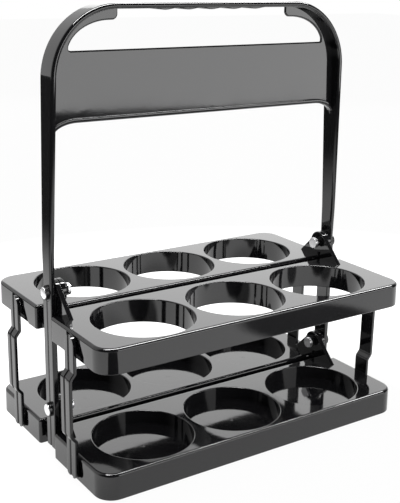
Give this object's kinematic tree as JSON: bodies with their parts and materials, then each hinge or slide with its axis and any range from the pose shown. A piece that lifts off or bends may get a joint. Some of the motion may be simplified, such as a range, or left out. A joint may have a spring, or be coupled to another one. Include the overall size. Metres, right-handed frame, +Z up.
{
  "type": "folding bottle carrier",
  "caption": "Folding plastic bottle carrier: two tiers of ring and cup trays on riveted end posts, parallel links, and one hoop handle with a web.",
  "frame": {"origin": "middle of the carrier on the surface it stands on", "axes": "+X along the handle to the right end, +Y to the back row, +Z up"},
  "size_m": [0.333, 0.208, 0.38],
  "materials": {
    "black_plastic": "polished",
    "bush_plastic": "satin",
    "bright_steel": "bright zinc"
  },
  "bodies": {
    "frame": {"handle": "black_plastic", "post_left": "black_plastic", "post_right": "black_plastic", "bush_upper_left": "bush_plastic", "bush_upper_right": "bush_plastic", "bush_lower_left": "bush_plastic", "bush_lower_right": "bush_plastic", "rivet_upper_left": "bright_steel", "rivet_upper_right": "bright_steel", "rivet_lower_left": "bright_steel", "rivet_lower_right": "bright_steel", "washer_upper_left": "bright_steel", "washer_upper_right": "bright_steel", "washer_lower_left": "bright_steel", "washer_lower_right": "bright_steel"},
    "lower_tray_front": {"lower_tray_front": "black_plastic"},
    "lower_tray_back": {"lower_tray_back": "black_plastic"},
    "upper_tray_front": {"upper_tray_front": "black_plastic"},
    "upper_tray_back": {"upper_tray_back": "black_plastic"},
    "link_front_left": {"link_front_left": "black_plastic"},
    "link_front_right": {"link_front_right": "black_plastic"},
    "link_back_left": {"link_back_left": "black_plastic"},
    "link_back_right": {"link_back_right": "black_plastic"}
  },
  "joints": [
    {"name": "fold_front", "type": "hinge", "parent": "frame", "child": "lower_tray_front", "pos_m": [0, 0, 0.039], "axis": [-1, 0, 0], "range_deg": [0, 90]},
    {"name": "upper_fold_front", "type": "hinge", "parent": "frame", "child": "upper_tray_front", "pos_m": [0, 0, 0.146], "axis": [-1, 0, 0], "range_deg": [0, 90]},
    {"name": "link_turn_front_left", "type": "hinge", "parent": "upper_tray_front", "child": "link_front_left", "pos_m": [-0.159, -0.054, 0.12], "axis": [1, 0, 0], "range_deg": [0, 90]},
    {"name": "link_turn_front_right", "type": "hinge", "parent": "upper_tray_front", "child": "link_front_right", "pos_m": [0.159, -0.054, 0.12], "axis": [1, 0, 0], "range_deg": [0, 90]},
    {"name": "fold_back", "type": "hinge", "parent": "frame", "child": "lower_tray_back", "pos_m": [0, 0, 0.039], "axis": [1, 0, 0], "range_deg": [0, 90]},
    {"name": "upper_fold_back", "type": "hinge", "parent": "frame", "child": "upper_tray_back", "pos_m": [0, 0, 0.146], "axis": [1, 0, 0], "range_deg": [0, 90]},
    {"name": "link_turn_back_left", "type": "hinge", "parent": "upper_tray_back", "child": "link_back_left", "pos_m": [-0.159, 0.054, 0.12], "axis": [-1, 0, 0], "range_deg": [0, 90]},
    {"name": "link_turn_back_right", "type": "hinge", "parent": "upper_tray_back", "child": "link_back_right", "pos_m": [0.159, 0.054, 0.12], "axis": [-1, 0, 0], "range_deg": [0, 90]}
  ],
  "couplings": [
    {"joint": "upper_fold_front", "follows": "fold_front", "ratio": 1},
    {"joint": "link_turn_front_left", "follows": "fold_front", "ratio": 1},
    {"joint": "link_turn_front_right", "follows": "fold_front", "ratio": 1},
    {"joint": "upper_fold_back", "follows": "fold_back", "ratio": 1},
    {"joint": "link_turn_back_left", "follows": "fold_back", "ratio": 1},
    {"joint": "link_turn_back_right", "follows": "fold_back", "ratio": 1}
  ]
}
